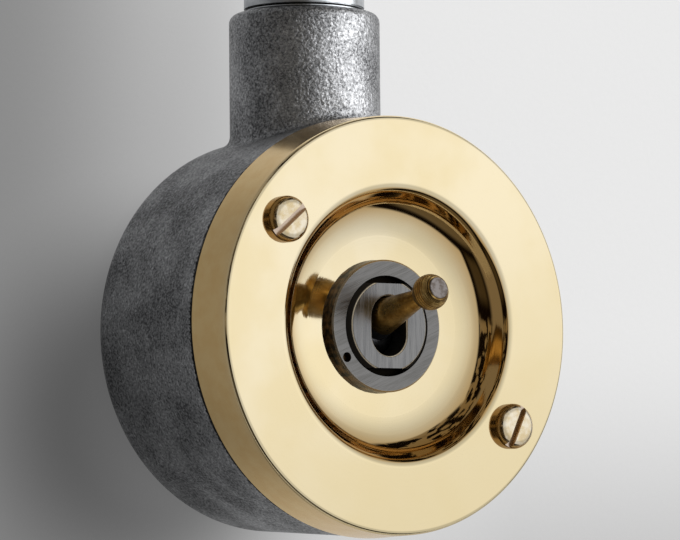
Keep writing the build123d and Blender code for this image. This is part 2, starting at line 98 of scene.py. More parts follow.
DOLLY_AXIS = Vector((0.0, -math.cos(DOLLY_TILT), math.sin(DOLLY_TILT)))


# Small helpers


def linear(code):
    """A colour written as six hexadecimal digits, as linear red, green and blue."""
    shares = [int(code[i : i + 2], 16) / 255 for i in (0, 2, 4)]
    return [s / 12.92 if s <= 0.04045 else ((s + 0.055) / 1.055) ** 2.4 for s in shares]


def tint(name, what, code):
    """A colour setting for what it colours, with its default as six hexadecimal digits."""
    about = "Colour of " + what
    value = linear(code)
    return FloatVectorProperty(
        name=name, description=about, subtype="COLOR", size=3, min=0.0, max=1.0, default=value
    )


def length(name, description, millimetres):
    """A length setting with its default in millimetres."""
    return FloatProperty(
        name=name, description=description, default=millimetres * MM, unit="LENGTH", precision=5
    )


def rotation(name, description, degrees):
    """An angle setting with its default in degrees."""
    turn = math.radians(degrees)
    return FloatProperty(name=name, description=description, default=turn, subtype="ANGLE")


def link(obj):
    """Puts a new object into the scene."""
    bpy.context.scene.collection.objects.link(obj)
    return obj


def pointing(way, place, axis="Z"):
    """The matrix that turns a local axis along a direction, at a place."""
    return Matrix.Translation(place) @ way.to_track_quat(axis, "Y").to_matrix().to_4x4()


def mesh_object(name, work):
    """A new object from a bmesh, with merged points and faces that point outwards."""
    bmesh.ops.remove_doubles(work, verts=work.verts, dist=MERGE)
    bmesh.ops.recalc_face_normals(work, faces=work.faces)
    mesh = bpy.data.meshes.new(name)
    work.to_mesh(mesh)
    work.free()
    return link(bpy.data.objects.new(name, mesh))


def smooth(obj, angle):
    """Smooth shading, with sharp edges where faces meet at more than the angle."""
    mesh = obj.data
    mesh.polygons.foreach_set("use_smooth", [True] * len(mesh.polygons))
    mesh.set_sharp_from_angle(angle=angle)


def arc(radius, first, last, steps, centre=(0.0, 0.0)):
    """Flat places on an arc about a centre, from one angle to another with both ends."""
    angles = [first + (last - first) * i / steps for i in range(steps + 1)]
    return [(centre[0] + radius * math.cos(a), centre[1] + radius * math.sin(a)) for a in angles]


def circle(radius, count, centre=(0.0, 0.0)):
    """Flat places on a whole circle, each of them once."""
    return arc(radius, 0.0, math.tau, count, centre)[:-1]


def turned(name, profile, segments, place):
    """A closed turned mesh. Profile points are distance along the axis and radius.

    The axis is local Z before the place matrix puts the piece into the frame.
    """
    work = bmesh.new()
    rings = []
    for along, radius in profile:
        places = [(0.0, 0.0)] if radius < MERGE else circle(radius, segments)
        rings.append([work.verts.new((x, y, along)) for x, y in places])
    for ring, following in zip(rings, rings[1:]):
        for i in range(segments):
            j = (i + 1) % segments
            if len(ring) == 1:
                corners = (ring[0], following[j], following[i])
            elif len(following) == 1:
                corners = (ring[i], ring[j], following[0])
            else:
                corners = (ring[i], ring[j], following[j], following[i])
            work.faces.new(corners)
    bmesh.ops.transform(work, matrix=place, verts=work.verts)
    return mesh_object(name, work)


def rounded(corners, steps=14, support=0.1 * MM):
    """A profile from corners of place, radius and round, with fine arcs in the corners.

    A point a little before and after each arc keeps the flats beside it truly flat.
    """
    points = [Vector(corners[0][:2])]
    for before, corner, after in zip(corners, corners[1:], corners[2:]):
        middle = Vector(corner[:2])
        back = (Vector(before[:2]) - middle).normalized()
        ahead = (Vector(after[:2]) - middle).normalized()
        if not corner[2]:
            points.append(middle)
            continue
        half = back.angle(ahead) / 2
        reach = corner[2] / math.tan(half)
        centre = middle + (back + ahead).normalized() * (corner[2] / math.sin(half))
        start = middle + back * reach - centre
        end = middle + ahead * reach - centre
        swing = start.angle(end)
        points.append(middle + back * (reach + support))
        for i in range(steps + 1):
            share = i / steps
            first = math.sin((1 - share) * swing) / math.sin(swing)
            second = math.sin(share * swing) / math.sin(swing)
            points.append(centre + start * first + end * second)
        points.append(middle + ahead * (reach + support))
    points.append(Vector(corners[-1][:2]))
    return [tuple(point) for point in points]


def prism(name, outline, near, far):
    """A straight prism along Y from an outline of X and Z places."""
    work = bmesh.new()
    front = [work.verts.new((x, near, z)) for x, z in outline]
    back = [work.verts.new((x, far, z)) for x, z in outline]
    work.faces.new(front)
    work.faces.new(back[::-1])
    for i in range(len(outline)):
        j = (i + 1) % len(outline)
        work.faces.new((front[i], back[i], back[j], front[j]))
    return mesh_object(name, work)


def flattened(obj):
    """Replaces an object's modifiers by their result."""
    graph = bpy.context.evaluated_depsgraph_get()
    mesh = bpy.data.meshes.new_from_object(obj.evaluated_get(graph))
    obj.modifiers.clear()
    old = obj.data
    obj.data = mesh
    bpy.data.meshes.remove(old)


def cut(obj, *cutters):
    """Adds exact cuts by other objects to an object."""
    for cutter in cutters:
        modifier = obj.modifiers.new(cutter.name, "BOOLEAN")
        modifier.operation = "DIFFERENCE"
        modifier.solver = "EXACT"
        modifier.object = cutter


def finish_nodes(material, *nodes):
    """Gives CAD nodes another material in their own slots."""
    for node in nodes:
        frame["nodes"][node].data.materials[0] = material


def dress(obj, material, body, slot, *nodes):
    """Gives a new piece its material and body, and lets it stand for CAD nodes. The slot is not used.
    """
    obj.data.materials.clear()
    obj.data.materials.append(material)
    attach(obj, body)
    if nodes:
        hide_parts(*nodes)


class NodeTree:
    """A node tree, built with short calls."""

    def __init__(self, tree):
        self.tree = tree

    def node(self, kind, sockets=None, **settings):
        """Adds a node. A socket is given another node's output or its own value."""
        made = self.tree.nodes.new(kind)
        for key, value in settings.items():
            setattr(made, key, value)
        for key, value in (sockets or {}).items():
            if isinstance(value, bpy.types.NodeSocket):
                self.tree.links.new(value, made.inputs[key])
            else:
                made.inputs[key].default_value = value
        return made


class Shader(NodeTree):
    """One material's or world's node tree."""

    def __init__(self, owner):
        owner.use_nodes = True
        super().__init__(owner.node_tree)
        self.owner = owner
        self.tree.nodes.clear()

    def math(self, operation, first, second=0.0):
        """The output of a Math node."""
        return self.node("ShaderNodeMath", {0: first, 1: second}, operation=operation).outputs[0]

    def add(self, first, second):
        """The sum of two values."""
        return self.math("ADD", first, second)

    def times(self, first, second):
        """The product of two values."""
        return self.math("MULTIPLY", first, second)

    def vector(self, operation, first, second=(0.0, 0.0, 0.0)):
        """The outputs of a Vector Math node."""
        return self.node("ShaderNodeVectorMath", {0: first, 1: second}, operation=operation).outputs

    def parts(self, vector):
        """The three parts of a vector."""
        return self.node("ShaderNodeSeparateXYZ", {0: vector}).outputs

    def joined(self, *values):
        """A vector from its first parts."""
        return self.node("ShaderNodeCombineXYZ", dict(enumerate(values))).outputs[0]

    def noise(self, vector, scale, detail=2.0, roughness=0.5):
        """A noise texture's factor, with its scale in waves per metre."""
        sockets = {"Vector": vector, "Scale": scale, "Detail": detail, "Roughness": roughness}
        return self.node("ShaderNodeTexNoise", sockets).outputs["Fac"]

    def span(self, value, low, high, start=0.0, end=1.0):
        """A value from low to high mapped smoothly to start to end, and held outside."""
        sockets = {"Value": value, "From Min": low, "From Max": high, "To Min": start, "To Max": end}
        made = self.node("ShaderNodeMapRange", sockets, interpolation_type="SMOOTHSTEP")
        return made.outputs["Result"]

    def swing(self, value, limits, start=0.0, end=1.0):
        """An angle between two limits in degrees mapped smoothly to start to end."""
        low, high = (math.radians(limit) for limit in limits)
        return self.span(value, low, high, start, end)

    def mix(self, share, first, second, blend="MIX"):
        """Two colours mixed by a share. A fixed colour is given as red, green and blue."""
        colours = [c if isinstance(c, bpy.types.NodeSocket) else (*c, 1.0) for c in (first, second)]
        sockets = {0: share, 6: colours[0], 7: colours[1]}
        made = self.node("ShaderNodeMix", sockets, data_type="RGBA", blend_type=blend)
        return made.outputs[2]

    def grey(self, value):
        """A grey colour from one value."""
        return self.node("ShaderNodeCombineColor", {0: value, 1: value, 2: value}).outputs[0]

    def bump(self, height, distance, strength=1.0, normal=None):
        """A bump from a height in shares of a distance in metres."""
        sockets = {"Height": height, "Distance": distance, "Strength": strength}
        if normal is not None:
            sockets["Normal"] = normal
        return self.node("ShaderNodeBump", sockets).outputs["Normal"]

    def radius(self, place):
        """Distance from the switch's axis, which runs along Y through the origin."""
        flat = self.vector("MULTIPLY", place, (1.0, 0.0, 1.0))[0]
        return self.vector("LENGTH", flat)["Value"]

    def surface(self, **sockets):
        """Ends the tree in a Principled surface. Underscores stand for spaces in names."""
        named = {key.replace("_", " "): value for key, value in sockets.items()}
        body = self.node("ShaderNodeBsdfPrincipled", named)
        self.node("ShaderNodeOutputMaterial", {"Surface": body.outputs["BSDF"]})
        return self.owner

    def metal(self, colour, rough, normal):
        """Ends the tree in a bare metal."""
        return self.surface(Base_Color=colour, Metallic=1.0, Roughness=rough, Normal=normal)


def geometry_tree(name, inputs):
    """A Geometry Nodes tree with named inputs, and the outputs that give their values."""
    tree = bpy.data.node_groups.new(name, "GeometryNodeTree")
    for socket, kind in inputs.items():
        tree.interface.new_socket(socket, in_out="INPUT", socket_type="NodeSocket" + kind)
    tree.interface.new_socket("Made", in_out="OUTPUT", socket_type="NodeSocketGeometry")
    nodes = NodeTree(tree)
    return nodes, nodes.node("NodeGroupInput").outputs


def ended_tree(nodes, geometry, material):
    """Ends a Geometry Nodes tree in real meshes with a material."""
    real = nodes.node("GeometryNodeRealizeInstances", {"Geometry": geometry}).outputs["Geometry"]
    painted = nodes.node("GeometryNodeSetMaterial", {"Geometry": real, "Material": material})
    nodes.node("NodeGroupOutput", {"Made": painted.outputs["Geometry"]})
    return nodes.tree


def run_tree(obj, tree, **inputs):
    """Runs a Geometry Nodes tree on an object and keeps the plain mesh."""
    modifier = obj.modifiers.new("made", "NODES")
    modifier.node_group = tree
    sockets = {item.name: item.identifier for item in tree.interface.items_tree}
    for name, value in inputs.items():
        modifier[sockets[name]] = value
    flattened(obj)


def new_shader(name):
    """A shader for a new material, and its object coordinates in metres."""
    shader = Shader(bpy.data.materials.new(name))
    return shader, shader.node("ShaderNodeTexCoord").outputs["Object"]


# Finishes

# Fine scratches: waves per metre, detail and roughness of their noise, and their depth
SCRATCHES = (2200.0, 3.0, 0.6)
SCRATCH_DEPTH = 0.02 * MM

# The brush marks on the ring nut lean this far from upright
NUT_BRUSH_SLANT = math.radians(68)


def cast_metal(looks):
    """Raw casting: a lumpy grey metal skin with fine grains, dark pits and a soft mottle, and a painted
    shadow in the gap under the cover.
    """
    shader, place = new_shader("cast_metal")
    grain = shader.noise(place, 1.0 / looks.grain_size, 3.0, 0.6)
    fine = shader.noise(place, 2.7 / looks.grain_size, 2.0, 0.6)
    lumps = shader.noise(place, 0.5 / looks.grain_size)
    swell = shader.noise(place, 160.0)
    mottle = shader.noise(place, 110.0, 4.0, 0.6)
    speck = shader.add(shader.times(grain, 0.6), shader.times(fine, 0.4))
    depth, height = shader.parts(place)[1:3]
    rim = COVER_HIGH.y
    # The grains lighten a little within a few millimetres of the rim
    worn = shader.span(depth, rim + 1.5 * MM, rim + 9.0 * MM, 0.03, 0.0)
    shifted = shader.add(speck, shader.span(mottle, 0.35, 0.65, -0.045, 0.045))
    shifted = shader.add(shifted, worn)
    dark = shader.mix(shader.span(shifted, 0.37, 0.55), looks.pit_colour, looks.skin_colour)
    colour = shader.mix(shader.span(shifted, 0.54, 0.7), dark, looks.grain_colour)
    # Painted shadow: a near-black ragged band in the gap under the cover, below the hub
    ragged = shader.add(depth, shader.span(grain, 0.3, 0.7, -0.3 * MM, 0.3 * MM))
    joint = shader.span(ragged, rim + 1.1 * MM, rim + 1.5 * MM, 1.0, 0.0)
    below_hub = shader.span(height, HUB_TOP - 22 * MM, HUB_TOP - 20 * MM, 1.0, 0.0)
    colour = shader.mix(shader.times(joint, below_hub), colour, looks.gap_shadow_colour)
    rough = shader.span(shifted, 0.35, 0.65, 0.54, 0.42)
    low = shader.bump(swell, 0.6 * MM, 0.3)
    lumpy = shader.bump(lumps, looks.lump_depth, 1.0, low)
    normal = shader.bump(speck, looks.grain_depth, 1.0, lumpy)
    return shader.metal(colour, rough, normal)


def polished_brass(looks):
    """Cover brass: mirror polish in front, satin on the skirt, faint turned rings.

    The dish's wall is a deeper gold, the face is painted darker low on its right as shade, and the part
    behind the ring nut is painted near-black as shade.
    """
    shader, place = new_shader("polished_brass")
    radius = shader.radius(place)
    outside = shader.span(radius, COVER_RADIUS - 0.75 * MM, COVER_RADIUS - 0.35 * MM)
    cloud = shader.noise(place, 60.0, 3.0)
    warm = shader.mix(shader.span(cloud, 0.35, 0.7), looks.face_colour, looks.warm_colour)
    knee = looks.knee_radius
    lip = looks.lip_radius
    past_knee = shader.span(radius, knee - 4.5 * MM, knee + 0.8 * MM)
    before_lip = shader.span(radius, lip, lip + 0.6 * MM, 1.0, 0.0)
    on_wall = shader.times(past_knee, before_lip)
    across, _, height = shader.parts(place)
    # Painted shade: the face grows darker towards its low right
    low_right = shader.math("SUBTRACT", shader.times(across, 0.5), height)
    low_right_shade = shader.span(low_right, -20 * MM, 45 * MM, 0.0, 0.8)
    warm = shader.mix(low_right_shade, warm, looks.low_right_shade_colour)
    warm = shader.mix(on_wall, warm, looks.dish_colour)
    streaks = shader.noise(place, 300.0, 3.0, 0.6)
    satin = shader.mix(shader.span(streaks, 0.3, 0.7), looks.skirt_colour, looks.skirt_second)
    colour = shader.mix(outside, warm, satin)
    # Painted shade: the brass behind the ring nut is near-black and rougher, because the deep gap there
    # lies in shadow
    behind_nut = shader.span(radius, NUT_HIGH.x - 2.6 * MM, NUT_HIGH.x - 1.8 * MM, 1.0, 0.0)
    colour = shader.mix(behind_nut, colour, looks.behind_nut_shade_colour)
    smear = shader.noise(place, 140.0, 4.0, 0.6)
    polish = shader.span(smear, 0.3, 0.8, 0.035, 0.09)
    worn = shader.add(shader.times(outside, 0.15), shader.times(behind_nut, 0.4))
    rough = shader.add(polish, worn)
    rings = shader.noise(shader.joined(radius), 900.0)
    fine_rings = shader.noise(shader.joined(radius), 3200.0)
    wave = shader.noise(place, 55.0, 1.0)
    in_dish = shader.span(radius, lip - 1.0 * MM, lip + 1.0 * MM, 1.0, 0.15)
    low = shader.bump(wave, 0.25 * MM, 0.12)
    turned_rings = shader.bump(rings, 0.02 * MM, 0.15, low)
    normal = shader.bump(shader.times(fine_rings, in_dish), 0.012 * MM, 0.35, turned_rings)
    return shader.metal(colour, rough, normal)


def screw_metal(looks):
    """Screw brass: pale worn tops with faint clouds, and deep golden sides and slots."""
    shader, place = new_shader("screw_brass_finish")
    cloud = shader.noise(place, 520.0, 4.0, 0.6)
    top = shader.mix(shader.span(cloud, 0.35, 0.65), looks.colour, looks.second_colour)
    depth = shader.parts(place)[1]
    head_y = FACE_Y - looks.head_height
    behind = shader.span(depth, head_y + 0.12 * MM, head_y + 0.6 * MM)
    facing = shader.parts(shader.node("ShaderNodeTexCoord").outputs["Normal"])[1]
    level = shader.span(shader.math("ABSOLUTE", facing), 0.8, 0.95)
    below = shader.mix(level, looks.side_colour, looks.slot_colour)
    base = shader.mix(behind, top, below)
    rough = shader.add(shader.span(cloud, 0.3, 0.7, 0.07, 0.16), shader.times(behind, 0.1))
    swirl = shader.noise(place, 160.0)
    low = shader.bump(swirl, 0.25 * MM, 0.3)
    normal = shader.bump(shader.noise(place, *SCRATCHES), SCRATCH_DEPTH, 0.12, low)
    return shader.metal(base, rough, normal)


def plain_metal(name, colour, second, roughness, scratch=0.15, scale=260.0):
    """A machined or drawn metal with small changes of colour and gloss."""
    shader, place = new_shader(name)
    cloud = shader.noise(place, scale, 4.0, 0.6)
    base = shader.mix(shader.span(cloud, 0.3, 0.7), colour, second)
    rough = shader.span(cloud, 0.3, 0.7, roughness * 0.75, roughness * 1.3)
    normal = shader.bump(shader.noise(place, *SCRATCHES), SCRATCH_DEPTH, scratch)
    return shader.metal(base, rough, normal)


def brush_marks(shader, place, slant):
    """Fine straight brush marks on a face across Y, turned by the slant from upright."""
    sockets = {"Vector": place, "Rotation": (0.0, slant, 0.0), "Scale": (1.0, 1.0, 24.0)}
    along = shader.node("ShaderNodeMapping", sockets, vector_type="TEXTURE").outputs[0]
    lines = shader.noise(along, 5200.0, 3.0, 0.7)
    broad = shader.noise(along, 1100.0)
    return shader.add(shader.times(lines, 0.6), shader.times(broad, 0.4))


def nut_metal(looks):
    """Gunmetal ring nut: brushed face, a painted highlight on its rim, a dark bronze side painted as
    the reflection it shows, and a black bore painted as shade.
    """
    shader, place = new_shader("ring_nut_finish")
    radius = shader.radius(place)
    strokes = brush_marks(shader, place, NUT_BRUSH_SLANT)
    face = shader.mix(shader.span(strokes, 0.36, 0.64), looks.nut_colour, looks.nut_second)
    # Painted highlight: a pale line along the rim
    rim = shader.span(radius, NUT_HIGH.x - 0.4 * MM, NUT_HIGH.x - 0.25 * MM)
    base = shader.mix(rim, face, looks.nut_rim_highlight)
    depth = shader.parts(place)[1]
    behind = shader.span(depth, NUT_LOW.y + 0.22 * MM, NUT_LOW.y + 0.4 * MM)
    # Painted reflection: the side is dark bronze with near-black patches, standing in for what it
    # reflects
    stain = shader.noise(place, 700.0, 3.0)
    side = shader.mix(shader.span(stain, 0.35, 0.65), looks.nut_side_reflection, looks.dark_shade_colour)
    base = shader.mix(behind, base, side)
    # Painted shade: the bore is near-black
    bore = shader.span(radius, BUSH_HIGH.x + 0.12 * MM, BUSH_HIGH.x + 0.25 * MM, 1.0, 0.0)
    base = shader.mix(bore, base, looks.dark_shade_colour)
    rough = shader.span(strokes, 0.3, 0.7, 0.24, 0.4)
    normal = shader.bump(strokes, 0.03 * MM, 0.35)
    return shader.metal(base, rough, normal)


def bush_metal(looks):
    """Bush: upright brush marks in front, a painted highlight on its edge, and its thread and slot
    painted near-black as shade.
    """
    shader, place = new_shader("bush_finish")
    strokes = brush_marks(shader, place, 0.0)
    face = shader.mix(shader.span(strokes, 0.36, 0.64), looks.bush_colour, looks.bush_second)
    depth = shader.parts(place)[1]
    # Painted highlight: a pale, less metallic line along the front edge
    edge = shader.span(depth, BUSH_LOW.y + 0.02 * MM, BUSH_LOW.y + 0.1 * MM)
    base = shader.mix(edge, face, looks.bush_edge_highlight)
    # Painted shade: everything behind the front edge, that is the bevel, flats, slot and thread, is
    # near-black
    behind = shader.span(depth, BUSH_LOW.y + 0.14 * MM, BUSH_LOW.y + 0.3 * MM)
    base = shader.mix(behind, base, looks.dark_shade_colour)
    rough = shader.span(strokes, 0.3, 0.7, 0.22, 0.38)
    rough = shader.add(rough, shader.times(edge, 0.25))
    metal = shader.math("SUBTRACT", 1.0, shader.times(edge, 0.5))
    normal = shader.bump(strokes, 0.03 * MM, 0.3)
    return shader.surface(Base_Color=base, Metallic=metal, Roughness=rough, Normal=normal)


def aged_brass(looks):
    """Dolly brass: brown and gold with darker turned lines on the knob and a dark steel ball."""
    shader, place = new_shader("aged_brass")
    away = shader.vector("SUBTRACT", place, tuple(PIVOT))[0]
    reach = shader.vector("DOT_PRODUCT", away, tuple(DOLLY_AXIS))["Value"]
    stain = shader.noise(place, 420.0, 4.0, 0.65)
    lines = shader.noise(shader.joined(reach), 5200.0)
    base = shader.mix(shader.span(stain, 0.35, 0.65), looks.stem_colour, looks.stain_colour)
    on_knob = shader.span(reach, looks.knob_place - looks.knob_radius, looks.knob_place)
    ringed = shader.times(on_knob, shader.span(lines, 0.42, 0.6))
    base = shader.mix(ringed, base, looks.ring_colour)
    tip_start = looks.knob_place + math.sqrt(looks.knob_radius**2 - looks.tip_radius**2)
    tip = shader.span(reach, tip_start - 0.15 * MM, tip_start - 0.03 * MM)
    scuffs = shader.noise(place, 900.0, 3.0, 0.6)
    worn_tip = shader.mix(shader.span(scuffs, 0.4, 0.62), looks.tip_colour, looks.scuff_colour)
    base = shader.mix(tip, base, worn_tip)
    ball = shader.span(reach, looks.ball_radius + 0.6 * MM, looks.ball_radius + 1.4 * MM, 1.0, 0.0)
    base = shader.mix(ball, base, looks.ball_colour)
    rough = shader.span(stain, 0.3, 0.7, 0.26, 0.4)
    dents = shader.bump(shader.noise(place, 600.0), 0.08 * MM, 0.35)
    normal = shader.bump(lines, 0.03 * MM, 0.35, dents)
    return shader.metal(base, rough, normal)


def moulded(name, colour, second):
    """A dark moulding with a slight grain."""
    shader, place = new_shader(name)
    cloud = shader.noise(place, 500.0, 4.0, 0.6)
    base = shader.mix(shader.span(cloud, 0.3, 0.7), colour, second)
    normal = shader.bump(shader.noise(place, 3000.0), 0.02 * MM, 0.2)
    rough = shader.span(cloud, 0.3, 0.7, 0.3, 0.42)
    return shader.surface(Base_Color=base, Roughness=rough, Normal=normal)


# Settings that a user would change


class CastingLooks(PropertyGroup):
    skin_colour: tint("Skin", "the casting's skin", "9b9c9e")
    grain_colour: tint("Grains", "the pale grains", "d6d7da")
    pit_colour: tint("Pits", "the floors of the pits", "525355")
    # Painted shadow in the gap between the cover and the casting
    gap_shadow_colour: tint("Joint", "the dark joint under the cover", "080808")
    grain_size: length("Grain size", "Distance between grains", 0.52)
    grain_depth: length("Grain depth", "Depth of the pits between grains", 0.085)
    lump_depth: length("Lump depth", "Depth of the larger lumps", 0.22)


class CoverLooks(PropertyGroup):
    front_radius: length("Front radius", "Radius of the cover at its face", 42.0)
    edge_round: length("Edge round", "Round between face and skirt", 0.9)
    lip_radius: length("Lip radius", "Radius of the dish's lip", 27.27)
    lip_round: length("Lip round", "Round of the dish's lip", 2.3)
    knee_radius: length("Knee radius", "Radius where the dish's wall meets its slope", 24.49)
    knee_depth: length("Knee depth", "Depth of the dish at its knee", 4.81)
    knee_round: length("Knee round", "Round between the dish's wall and slope", 6.4)
    slope_radius: length("Slope radius", "Radius where the slope meets the floor", 19.6)
    slope_depth: length("Slope depth", "Depth of the dish where its slope starts", 6.03)
    slope_round: length("Slope round", "Round between the slope and the floor", 22.0)
    floor_radius: length("Floor radius", "Radius of the dish's flat floor", 14.6)
    floor_depth: length("Floor depth", "Depth of the dish", 6.5)
    floor_round: length("Floor round", "Round at the edge of the flat floor", 100.0)
    wall: length("Wall", "Thickness of the cover", 2.0)
    hole_radius: length("Hole radius", "Radius of the hole for the bush", 10.0)
    hole_flat: length("Hole flat", "Distance of the hole's flats from its middle", 8.6)
    screw_hole: length("Screw hole", "Radius of a cover screw's hole", 2.75)
    segments: IntProperty(name="Segments", description="Faces round the cover", default=288, min=48)
    face_colour: tint("Face", "the polished front", "f8eac8")
    warm_colour: tint("Warm patches", "warmer patches on the front", "f3e2b8")
    # Painted shade on the face, low on its right
    low_right_shade_colour: tint("Tarnish", "the face, low on its right", "e6d5aa")
    dish_colour: tint("Dish wall", "the dish's wall", "cda86c")
    # Painted shade behind the ring nut
    behind_nut_shade_colour: tint("Aged brass", "the brass behind the ring nut", "14110c")
    skirt_colour: tint("Skirt", "the satin skirt", "ffdd9e")
    skirt_second: tint("Skirt streaks", "the skirt's darker streaks", "fad492")


class ScrewLooks(PropertyGroup):
    head_radius: length("Head radius", "Radius of a cover screw's head", 4.6)
    head_height: length("Head height", "Height of a head over the cover", 2.5)
    head_round: length("Head round", "Round of the head's rim", 1.7)
    slot_width: length("Slot width", "Width of the driver slot", 1.4)
    slot_depth: length("Slot depth", "Depth of the driver slot", 1.2)
    shank_radius: length("Shank radius", "Radius of the shank", 2.45)
    shank_length: length("Shank length", "Length of the shank", 18.0)
    upper_slot: rotation("Upper slot", "Angle of the upper slot", 40.0)
    lower_slot: rotation("Lower slot", "Angle of the lower slot", 65.0)
    colour: tint("Screw tops", "the screws' tops", "f0e6d0")
    second_colour: tint("Worn tops", "warmer patches on the tops", "dcc8a0")
    side_colour: tint("Screw sides", "the heads' sides", "b48c50")
    slot_colour: tint("Slot floors", "the floors of the slots", "cbb8a6")


class DollyLooks(PropertyGroup):
    knob_place: length("Knob place", "Distance of the knob's centre from the pivot", 24.5)
    knob_radius: length("Knob radius", "Radius of the knob", 3.6)
    tip_radius: length("Tip radius", "Radius of the flat on the knob's tip", 2.0)
    neck_radius: length("Neck radius", "Radius of the stem at the knob", 1.8)
    neck_place: length("Neck place", "Distance of the stem's thin end from the pivot", 20.6)
    stem_radius: length("Stem radius", "Radius of the stem near the ball", 3.4)
    stem_place: length("Stem place", "Distance of the stem's thick end from the pivot", 9.6)
    ball_radius: length("Ball radius", "Radius of the ball on the cross pin", 6.6)
    tail_radius: length("Tail radius", "Radius of the tail behind the ball", 3.3)
    tail_length: length("Tail length", "Length of the tail behind the pivot", 10.0)
    bore_radius: length("Bore radius", "Radius of the bore for the plunger", 2.05)
    bore_floor: length("Bore floor", "Distance of the bore's floor from the pivot", 2.3)
    line_pitch: length("Line pitch", "Distance between turned lines on the knob", 0.42)
    line_depth: length("Line depth", "Depth of the turned lines", 0.045)
    segments: IntProperty(name="Segments", description="Faces round the dolly", default=96, min=24)
    stem_colour: tint("Stem", "the stem, where it is clean", "e0bb74")
    stain_colour: tint("Stain", "darker stains", "9a7538")
    ring_colour: tint("Rings", "the turned rings on the knob", "57452e")
    tip_colour: tint("Tip", "the worn tip", "aaa3a0")
    scuff_colour: tint("Tip scuffs", "the marks on the worn tip", "857b74")
    ball_colour: tint("Ball", "the ball in the slot", "8a8b90")


class SpringLooks(PropertyGroup):
    turns: FloatProperty(name="Turns", description="Turns of the toggle spring", default=3.0, min=1.0)
    radius: length("Spring radius", "Radius of the coil at the wire's middle", 1.15)
    wire_radius: length("Wire radius", "Radius of the spring's wire", 0.225)
    start: length("Spring start", "Distance of the first turn from the pivot", 2.525)
    length: length("Spring length", "Length from the first turn to the last", 6.7)


class FittingLooks(PropertyGroup):
    nut_colour: tint("Ring nut", "the ring nut's face", "71706e")
    nut_second: tint("Ring nut strokes", "the lighter strokes", "8c8b8a")
    # Painted highlight along the ring nut's rim
    nut_rim_highlight: tint("Ring nut rim", "the worn rim", "b5aea2")
    # Painted reflection on the ring nut's side
    nut_side_reflection: tint("Ring nut side", "the ring nut's side", "6a5236")
    bush_colour: tint("Bush", "the bush's face", "747475")
    bush_second: tint("Bush strokes", "the lighter strokes", "949494")
    # Painted highlight along the bush's edge
    bush_edge_highlight: tint("Bush edge", "the bush's worn edge", "e9dec6")
    # Painted shade in threads, bores and behind the bush's edge
    dark_shade_colour: tint("Dark sides", "threads and bores", "1b1814")
    pipe_colour: tint("Conduit", "the galvanised conduit", "c9cccf")
    pipe_second: tint("Conduit spangle", "the darker zinc", "9da1a6")
    thread_pitch: length("Thread pitch", "Pitch of the conduit's thread", 0.6)
    thread_reach: length("Thread reach", "Length of thread that shows", 1.05)


class StageLooks(PropertyGroup):
    # The two ends of the wall's painted light falloff, lit at the right and shaded at the left
    wall_light: tint("Wall, right", "the wall at the right", "f2f2f2")
    wall_dark: tint("Wall, left", "the wall at the left", "929292")
    floor_colour: tint("Floor", "the floor", "e6e6e4")
    grain: length("Wall grain", "Distance between the wall's bumps", 1.6)


# Pieces


class SWITCH_OT_casting(Operator):
    """Finishes the cast box"""

    bl_idname = "switch.casting"
    bl_label = "Cast box"

    def execute(self, context):
        finish_nodes(cast_metal(context.scene.casting_looks), "back_box")
        return {"FINISHED"}


def cover_profile(looks):
    """The cover's closed section, as distance out from the wall and radius."""
    face = -FACE_Y
    start = looks.hole_radius - 2.0 * MM
    wall = looks.wall
    front = rounded(
        [
            (face - looks.floor_depth, start, 0.0),
            (face - looks.floor_depth, looks.floor_radius, looks.floor_round),
            (face - looks.slope_depth, looks.slope_radius, looks.slope_round),
            (face - looks.knee_depth, looks.knee_radius, looks.knee_round),
            (face, looks.lip_radius, looks.lip_round),
            (face, looks.front_radius, looks.edge_round),
            (face - COVER_DEPTH, COVER_RADIUS, 0.0),
        ]
    )
    inner = COVER_RADIUS - wall
    back = [
        (face - COVER_DEPTH, inner),
        (face - wall, inner),
        (face - wall, looks.lip_radius + wall / 2),
        (face - looks.knee_depth - wall, looks.knee_radius + wall / 4),
        (face - looks.floor_depth - wall, looks.floor_radius),
        (face - looks.floor_depth - wall, start),
    ]
    return [*front, *back, front[0]]


def screw_middle(node):
    """The middle of a cover screw in X and Z."""
    low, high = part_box(node)
    return (low.x + high.x) / 2, (low.z + high.z) / 2


class SWITCH_OT_cover(Operator):
    """Makes the dished brass cover"""

    bl_idname = "switch.cover"
    bl_label = "Brass cover"

    def execute(self, context):
        looks = context.scene.cover_looks
        out_along_y = Matrix.Rotation(math.pi / 2, 4, "X")
        cover = turned("turned_cover", cover_profile(looks), looks.segments, out_along_y)
        flat = looks.hole_flat
        bush_hole = circle(looks.hole_radius, BUSH_HOLE_SIDES)
        outline = [(x, max(-flat, min(flat, z))) for x, z in bush_hole]
        cutters = [prism("bush_hole", outline, FACE_Y - MM, FACE_Y + COVER_DEPTH)]
        for node in COVER_SCREWS:
            hole = circle(looks.screw_hole, SCREW_HOLE_SIDES, screw_middle(node))
            cutters.append(prism("screw_hole", hole, FACE_Y - MM, FACE_Y + 2 * looks.wall))
        cut(cover, *cutters)
        flattened(cover)
        for cutter in cutters:
            bpy.data.objects.remove(cutter)
        smooth(cover, SHARP_EDGE)
        dress(cover, polished_brass(looks), "box", "cover_brass", "front_cover")
        return {"FINISHED"}


